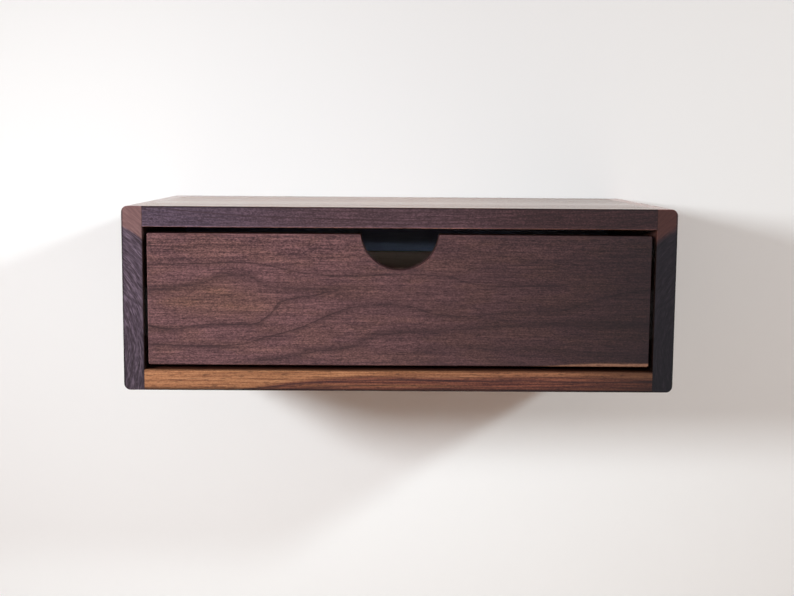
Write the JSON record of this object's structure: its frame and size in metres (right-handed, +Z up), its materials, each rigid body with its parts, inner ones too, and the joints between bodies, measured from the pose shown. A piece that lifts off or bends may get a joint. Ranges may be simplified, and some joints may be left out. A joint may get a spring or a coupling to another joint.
{
  "type": "floating shelf with drawer",
  "caption": "Wall-hung walnut shelf: a shallow box with rounded corners and an inset drawer with a half-round finger notch, hung on a French cleat, the drawer on ball-bearing slides.",
  "frame": {"origin": "midway between the two wall screws, on the wall's face", "axes": "+X to the right as seen from the room, +Y into the wall, +Z up"},
  "size_m": [0.508, 0.27, 0.17],
  "materials": {
    "walnut_side": "oiled black walnut, end grain on the front edge",
    "walnut_top": "oiled black walnut, satin",
    "walnut_bottom": "oiled walnut with pale sapwood along the front edge",
    "walnut_front": "oiled black walnut with a flat-sawn figure, satin",
    "maple": "clear-coated maple",
    "birch_ply": "birch plywood, clear-coated",
    "stained_ply": "birch plywood, stained slate blue-grey",
    "cleat_wood": "plain hardwood, unfinished",
    "zinc_steel": "zinc-plated rolled steel",
    "cage_steel": "zinc-plated strip",
    "ball_steel": "polished bearing steel, oiled",
    "screw_steel": "zinc-plated screw",
    "bumper_rubber": "black rubber"
  },
  "bodies": {
    "wall_mount": {"wall_cleat": "cleat_wood"},
    "case": {"left_side": "walnut_side", "right_side": "walnut_side", "top_panel": "walnut_top", "bottom_panel": "walnut_bottom", "back_panel": "stained_ply", "hanging_rail": "cleat_wood", "joint_tongues": "birch_ply", "left_cabinet_member": "zinc_steel", "right_cabinet_member": "zinc_steel", "cabinet_slide_screws": "screw_steel", "left_slide_bumper": "bumper_rubber", "right_slide_bumper": "bumper_rubber"},
    "drawer": {"drawer_front": "walnut_front", "drawer_box_front": "maple", "left_drawer_side": "maple", "right_drawer_side": "maple", "drawer_back": "maple", "drawer_bottom": "birch_ply", "drawer_front_screws": "screw_steel", "left_drawer_member": "zinc_steel", "right_drawer_member": "zinc_steel", "drawer_slide_screws": "screw_steel"},
    "left_middle_slide": {"left_middle_member": "zinc_steel"},
    "right_middle_slide": {"right_middle_member": "zinc_steel"},
    "left_outer_bearing": {"left_outer_cage": "cage_steel", "left_outer_balls": "ball_steel"},
    "right_outer_bearing": {"right_outer_cage": "cage_steel", "right_outer_balls": "ball_steel"},
    "left_inner_bearing": {"left_inner_cage": "cage_steel", "left_inner_balls": "ball_steel"},
    "right_inner_bearing": {"right_inner_cage": "cage_steel", "right_inner_balls": "ball_steel"}
  },
  "joints": [
    {"name": "shelf_lift", "type": "slide", "parent": "wall_mount", "child": "case", "axis": [0, 0, 1], "range_m": [0, 0.016]},
    {"name": "drawer_slide", "type": "slide", "parent": "case", "child": "drawer", "axis": [0, -1, 0], "range_m": [0, 0.2]},
    {"name": "left_middle_travel", "type": "slide", "parent": "case", "child": "left_middle_slide", "axis": [0, -1, 0], "range_m": [0, 0.1]},
    {"name": "right_middle_travel", "type": "slide", "parent": "case", "child": "right_middle_slide", "axis": [0, -1, 0], "range_m": [0, 0.1]},
    {"name": "left_outer_cage_travel", "type": "slide", "parent": "case", "child": "left_outer_bearing", "axis": [0, -1, 0], "range_m": [0, 0.05]},
    {"name": "right_outer_cage_travel", "type": "slide", "parent": "case", "child": "right_outer_bearing", "axis": [0, -1, 0], "range_m": [0, 0.05]},
    {"name": "left_inner_cage_travel", "type": "slide", "parent": "case", "child": "left_inner_bearing", "axis": [0, -1, 0], "range_m": [0, 0.15]},
    {"name": "right_inner_cage_travel", "type": "slide", "parent": "case", "child": "right_inner_bearing", "axis": [0, -1, 0], "range_m": [0, 0.15]}
  ],
  "couplings": [
    {"joint": "left_middle_travel", "follows": "drawer_slide", "ratio": 0.5},
    {"joint": "right_middle_travel", "follows": "drawer_slide", "ratio": 0.5},
    {"joint": "left_outer_cage_travel", "follows": "drawer_slide", "ratio": 0.25},
    {"joint": "right_outer_cage_travel", "follows": "drawer_slide", "ratio": 0.25},
    {"joint": "left_inner_cage_travel", "follows": "drawer_slide", "ratio": 0.75},
    {"joint": "right_inner_cage_travel", "follows": "drawer_slide", "ratio": 0.75}
  ]
}
